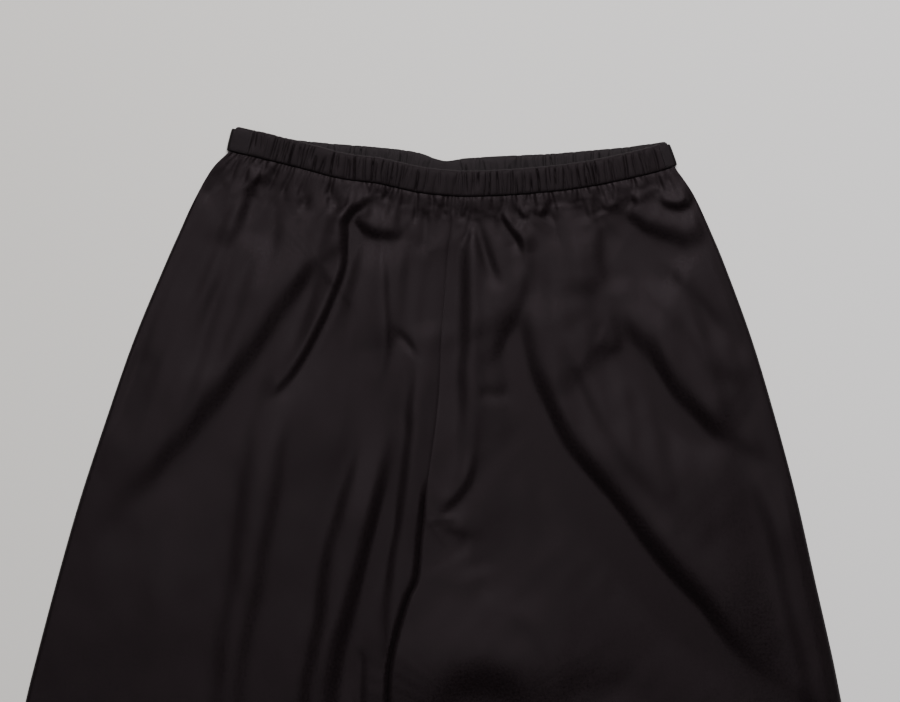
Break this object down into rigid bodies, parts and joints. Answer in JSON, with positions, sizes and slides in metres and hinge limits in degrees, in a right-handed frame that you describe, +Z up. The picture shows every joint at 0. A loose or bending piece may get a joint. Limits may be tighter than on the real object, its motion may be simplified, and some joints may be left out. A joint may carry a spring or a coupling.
{
  "type": "wide-leg trousers",
  "caption": "Dark wide-leg pull-on trousers with a gathered elastic waistband, laid flat with the front up and one leg lapped over the other.",
  "frame": {"origin": "on the surface the trousers lie on, at the centre of their laid outline", "axes": "+X to the viewer's right, +Y from the hems towards the waist, +Z up off the surface; the front faces up"},
  "size_m": [0.8193, 0.9902, 0.0107],
  "materials": {
    "dark_twill": "near-black brown soft twill, matt with a faint sheen on the folds",
    "waistband_twill": "the same twill doubled and gathered over elastic, matt"
  },
  "bodies": {
    "root": {"front_panel_left": "dark_twill", "front_panel_right": "dark_twill", "back_panel_left": "dark_twill", "back_panel_right": "dark_twill", "waistband_front": "waistband_twill", "waistband_back": "waistband_twill"}
  },
  "joints": []
}
